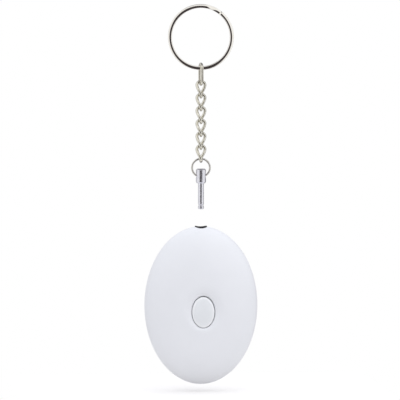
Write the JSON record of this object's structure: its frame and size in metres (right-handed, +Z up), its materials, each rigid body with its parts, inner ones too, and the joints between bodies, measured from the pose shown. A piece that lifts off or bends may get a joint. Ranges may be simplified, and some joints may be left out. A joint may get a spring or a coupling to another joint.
{
  "type": "personal safety alarm",
  "caption": "Oval white personal alarm with a push button, a chrome pull pin drawn from the socket in its top, a twisted link chain and a split key ring.",
  "frame": {"origin": "centre of the split key ring, where the alarm is held up", "axes": "+Z up along the chain and the case's long axis, +X to the right seen from the button, +Y from the button through to the flat back"},
  "size_m": [0.043, 0.0205, 0.1441],
  "materials": {
    "ring_nickel": "polished nickel plate",
    "chain_nickel": "bright nickel plate, slightly warm",
    "pin_chrome": "turned and polished",
    "case_plastic": "moulded, satin gloss",
    "button_plastic": "moulded, satin gloss",
    "black_plastic": "moulded",
    "screw_steel": "zinc plated",
    "switch_metal": "stamped",
    "board_laminate": "solder mask",
    "spring_brass": "bright",
    "gasket_foam": "closed-cell foam",
    "sounder_ceramic": "silvered",
    "lead_red": "insulation",
    "lead_black": "insulation",
    "ferrite": "sintered",
    "enamelled_copper": "enamelled",
    "chip_resin": "moulded",
    "capacitor_sleeve": "sleeve",
    "contact_nickel": "nickel plated",
    "cell_steel": "nickel plated"
  },
  "bodies": {
    "key_ring": {"key_ring": "ring_nickel"},
    "ring_link": {"ring_link": "chain_nickel"},
    "chain_link_1": {"chain_link_1": "chain_nickel"},
    "chain_link_2": {"chain_link_2": "chain_nickel"},
    "chain_link_3": {"chain_link_3": "chain_nickel"},
    "chain_link_4": {"chain_link_4": "chain_nickel"},
    "chain_link_5": {"chain_link_5": "chain_nickel"},
    "chain_link_6": {"chain_link_6": "chain_nickel"},
    "jump_ring": {"jump_ring": "chain_nickel"},
    "pull_pin": {"pull_pin": "pin_chrome"},
    "alarm_case": {"front_shell": "case_plastic", "rear_shell": "case_plastic", "case_screws": "screw_steel", "pin_socket": "black_plastic", "tactile_switch": "switch_metal", "circuit_board": "board_laminate", "board_screws": "screw_steel", "socket_leaf": "spring_brass", "siren_gasket": "gasket_foam", "siren_disc": "spring_brass", "siren_ceramic": "sounder_ceramic", "siren_lead_red": "lead_red", "siren_lead_black": "lead_black", "boost_coil_core": "ferrite", "boost_coil_winding": "enamelled_copper", "driver_chip": "chip_resin", "transistor": "chip_resin", "capacitor": "capacitor_sleeve", "chip_resistors": "chip_resin", "button_cell_1": "cell_steel", "button_cell_2": "cell_steel", "button_cell_3": "cell_steel", "positive_contact": "contact_nickel", "negative_contact": "contact_nickel"},
    "push_button": {"push_button": "button_plastic", "switch_plunger": "black_plastic"}
  },
  "joints": [
    {"name": "ring_link_swing", "type": "hinge", "parent": "key_ring", "child": "ring_link", "pos_m": [0, 0, -0.0118], "axis": [1, 0, 0], "range_deg": [-60, 60]},
    {"name": "chain_link_1_swing", "type": "hinge", "parent": "ring_link", "child": "chain_link_1", "pos_m": [0, 0, -0.01785], "axis": [0, 1, 0], "range_deg": [-40, 40]},
    {"name": "chain_link_2_swing", "type": "hinge", "parent": "chain_link_1", "child": "chain_link_2", "pos_m": [0, 0, -0.02155], "axis": [-1, 0, 0], "range_deg": [-40, 40]},
    {"name": "chain_link_3_swing", "type": "hinge", "parent": "chain_link_2", "child": "chain_link_3", "pos_m": [0, 0, -0.0276], "axis": [0, -1, 0], "range_deg": [-40, 40]},
    {"name": "chain_link_4_swing", "type": "hinge", "parent": "chain_link_3", "child": "chain_link_4", "pos_m": [0, 0, -0.03129], "axis": [1, 0, 0], "range_deg": [-40, 40]},
    {"name": "chain_link_5_swing", "type": "hinge", "parent": "chain_link_4", "child": "chain_link_5", "pos_m": [0, 0, -0.03734], "axis": [0, 1, 0], "range_deg": [-40, 40]},
    {"name": "chain_link_6_swing", "type": "hinge", "parent": "chain_link_5", "child": "chain_link_6", "pos_m": [0, 0, -0.04102], "axis": [-1, 0, 0], "range_deg": [-40, 40]},
    {"name": "jump_ring_swing", "type": "hinge", "parent": "chain_link_6", "child": "jump_ring", "pos_m": [0, 0, -0.04707], "axis": [0, -1, 0], "range_deg": [-40, 40]},
    {"name": "pull_pin_swing", "type": "hinge", "parent": "jump_ring", "child": "pull_pin", "pos_m": [0, 0, -0.05254], "axis": [1, 0, 0], "range_deg": [-60, 60]},
    {"name": "pin_insertion", "type": "slide", "parent": "pull_pin", "child": "alarm_case", "axis": [0, 0, 1], "range_m": [0, 0.01775]},
    {"name": "button_press", "type": "slide", "parent": "alarm_case", "child": "push_button", "axis": [0, 1, 0], "range_m": [0, 0.0005], "stiffness_N_per_m": 1500}
  ]
}
